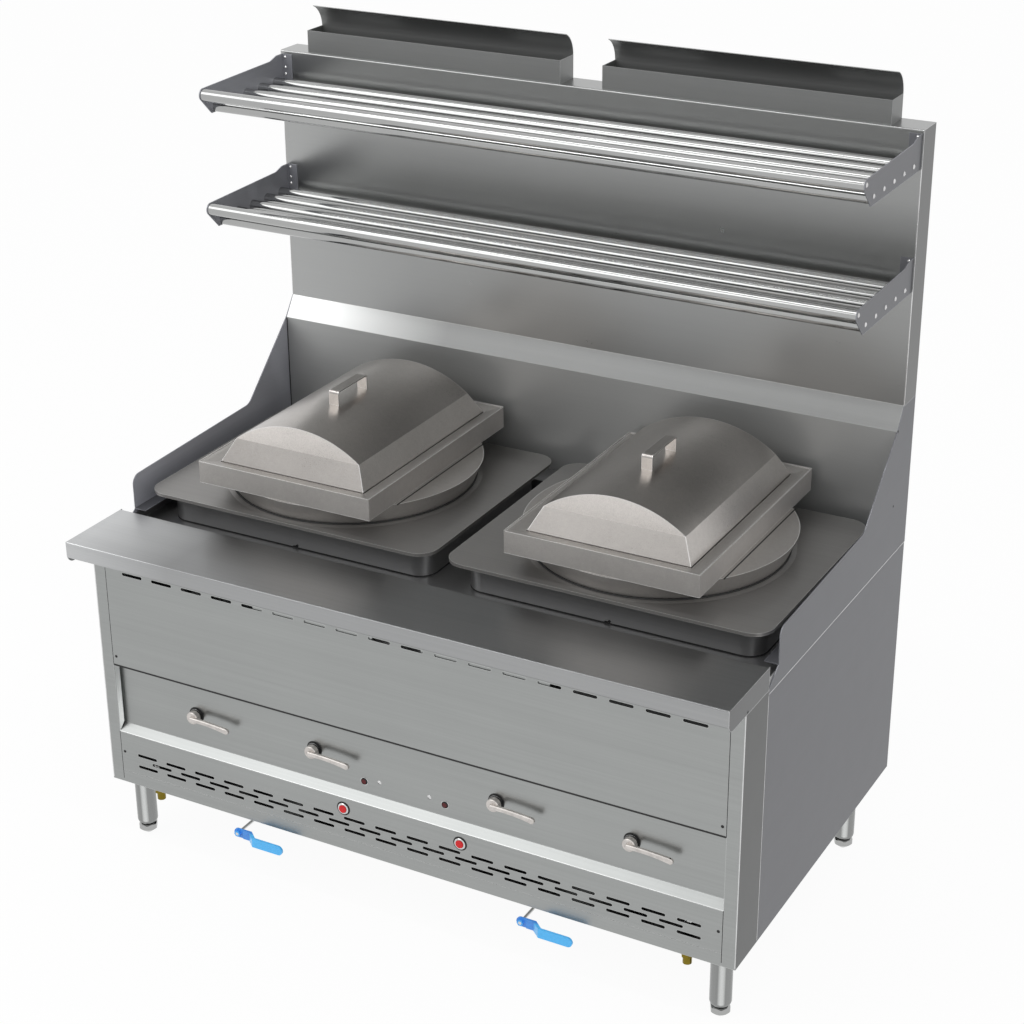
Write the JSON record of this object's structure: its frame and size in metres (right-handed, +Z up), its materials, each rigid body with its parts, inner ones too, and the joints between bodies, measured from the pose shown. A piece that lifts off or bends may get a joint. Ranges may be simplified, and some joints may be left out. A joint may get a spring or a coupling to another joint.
{
  "type": "steam range",
  "caption": "Free-standing gas steam range: round water pans under lift-off boxes with vaulted lids, a guttered deck, tube shelves and a tall backsplash.",
  "frame": {"origin": "on the floor, under the middle of the whole outline", "axes": "+X to the right of a person who works at the range, +Y from the front ledge to the back, +Z up"},
  "size_m": [1.524, 0.953, 1.7435],
  "materials": {
    "front_sheet": "brushed stainless sheet, satin",
    "side_sheet": "brushed stainless sheet, satin, blue-grey",
    "ledge_sheet": "brushed stainless sheet, semi-bright",
    "gutter_sheet": "brushed stainless sheet, shaded",
    "deck_sheet": "pressed stainless sheet, satin",
    "steam_sheet": "fine-grained stainless sheet, warm grey",
    "lid_sheet": "fine-grained stainless sheet, warm grey",
    "riser_sheet": "brushed stainless sheet, satin",
    "back_sheet": "brushed stainless sheet, satin",
    "backsplash_sheet": "brushed stainless sheet, satin",
    "duct_sheet": "aluminised sheet, dull",
    "tube_steel": "polished stainless tube",
    "lever_nickel": "cast, satin nickel plate",
    "bright_metal": "bright chrome",
    "black_collar": "moulded, black, matt",
    "black_pipe": "black steel pipe",
    "brass": "turned brass",
    "cast_iron": "raw cast iron",
    "ceramic": "glazed ceramic and steel bracket",
    "red_button": "moulded, red, gloss",
    "lamp_lens": "moulded lens, dark red, gloss",
    "blue_sleeve": "dipped vinyl sleeve, blue"
  },
  "bodies": {
    "range_body": {"back_panel": "back_sheet", "backsplash": "backsplash_sheet", "base_frame": "front_sheet", "burner_left": "cast_iron", "burner_right": "cast_iron", "button_bezels": "bright_metal", "chamber_left": "gutter_sheet", "chamber_right": "gutter_sheet", "control_panel": "front_sheet", "deck_left": "deck_sheet", "deck_right": "deck_sheet", "drain_pipes": "tube_steel", "drain_valves": "brass", "flue_ducts": "duct_sheet", "front_ledge": "ledge_sheet", "front_posts": "front_sheet", "gas_manifold": "black_pipe", "gas_valves": "brass", "grille_panel": "front_sheet", "gutter_tray": "gutter_sheet", "hose_couplings": "brass", "igniters": "ceramic", "indicator_lamps": "lamp_lens", "legs": "tube_steel", "lever_collars": "black_collar", "rear_cover": "side_sheet", "riser_left": "riser_sheet", "riser_right": "riser_sheet", "screws": "bright_metal", "shelf_brackets": "side_sheet", "shelf_tubes": "tube_steel", "side_panel_left": "side_sheet", "side_panel_right": "side_sheet", "splash_guard_left": "side_sheet", "splash_guard_right": "side_sheet", "upper_front_panel": "front_sheet", "water_pan_left": "steam_sheet", "water_pan_right": "steam_sheet"},
    "steam_box_left": {"steam_box_left": "steam_sheet", "steam_plate_left": "steam_sheet"},
    "lid_left": {"lid_left": "lid_sheet", "lid_handle_left": "lid_sheet"},
    "button_left": {"button_left": "red_button"},
    "drain_handle_left": {"drain_handle_left": "blue_sleeve", "drain_stem_left": "bright_metal"},
    "steam_box_right": {"steam_box_right": "steam_sheet", "steam_plate_right": "steam_sheet"},
    "lid_right": {"lid_right": "lid_sheet", "lid_handle_right": "lid_sheet"},
    "button_right": {"button_right": "red_button"},
    "drain_handle_right": {"drain_handle_right": "blue_sleeve", "drain_stem_right": "bright_metal"},
    "lever_1": {"lever_1": "lever_nickel"},
    "foot_1": {"foot_1": "tube_steel"},
    "lever_2": {"lever_2": "lever_nickel"},
    "foot_2": {"foot_2": "tube_steel"},
    "lever_3": {"lever_3": "lever_nickel"},
    "foot_3": {"foot_3": "tube_steel"},
    "lever_4": {"lever_4": "lever_nickel"},
    "foot_4": {"foot_4": "tube_steel"}
  },
  "joints": [
    {"name": "lever_1_turn", "type": "hinge", "parent": "range_body", "child": "lever_1", "pos_m": [-0.5263, -0.3935, 0.3704], "axis": [0, 1, 0], "range_deg": [0, 90]},
    {"name": "lever_2_turn", "type": "hinge", "parent": "range_body", "child": "lever_2", "pos_m": [-0.2203, -0.3935, 0.3704], "axis": [0, 1, 0], "range_deg": [0, 90]},
    {"name": "lever_3_turn", "type": "hinge", "parent": "range_body", "child": "lever_3", "pos_m": [0.2203, -0.3935, 0.3704], "axis": [0, 1, 0], "range_deg": [0, 90]},
    {"name": "lever_4_turn", "type": "hinge", "parent": "range_body", "child": "lever_4", "pos_m": [0.5263, -0.3935, 0.3704], "axis": [0, 1, 0], "range_deg": [0, 90]},
    {"name": "button_left_press", "type": "slide", "parent": "range_body", "child": "button_left", "axis": [0, 1, 0], "range_m": [0, 0.004], "stiffness_N_per_m": 600, "springref_m": -0.003},
    {"name": "button_right_press", "type": "slide", "parent": "range_body", "child": "button_right", "axis": [0, 1, 0], "range_m": [0, 0.004], "stiffness_N_per_m": 600, "springref_m": -0.003},
    {"name": "drain_handle_left_turn", "type": "hinge", "parent": "range_body", "child": "drain_handle_left", "pos_m": [-0.41, -0.3935, 0.1224], "axis": [0, -1, 0], "range_deg": [0, 90]},
    {"name": "drain_handle_right_turn", "type": "hinge", "parent": "range_body", "child": "drain_handle_right", "pos_m": [0.294, -0.3935, 0.1224], "axis": [0, -1, 0], "range_deg": [0, 90]},
    {"name": "steam_box_left_lift", "type": "slide", "parent": "range_body", "child": "steam_box_left", "axis": [0, 0, 1], "range_m": [0, 0.1]},
    {"name": "lid_left_lift", "type": "slide", "parent": "steam_box_left", "child": "lid_left", "axis": [0, 0, 1], "range_m": [0, 0.18]},
    {"name": "steam_box_right_lift", "type": "slide", "parent": "range_body", "child": "steam_box_right", "axis": [0, 0, 1], "range_m": [0, 0.1]},
    {"name": "lid_right_lift", "type": "slide", "parent": "steam_box_right", "child": "lid_right", "axis": [0, 0, 1], "range_m": [0, 0.18]},
    {"name": "foot_1_turn", "type": "hinge", "parent": "range_body", "child": "foot_1", "pos_m": [-0.714, -0.3455, 0.012], "axis": [0, 0, 1], "continuous": true},
    {"name": "foot_2_turn", "type": "hinge", "parent": "range_body", "child": "foot_2", "pos_m": [0.714, -0.3455, 0.012], "axis": [0, 0, 1], "continuous": true},
    {"name": "foot_3_turn", "type": "hinge", "parent": "range_body", "child": "foot_3", "pos_m": [-0.714, 0.3435, 0.012], "axis": [0, 0, 1], "continuous": true},
    {"name": "foot_4_turn", "type": "hinge", "parent": "range_body", "child": "foot_4", "pos_m": [0.714, 0.3435, 0.012], "axis": [0, 0, 1], "continuous": true}
  ]
}
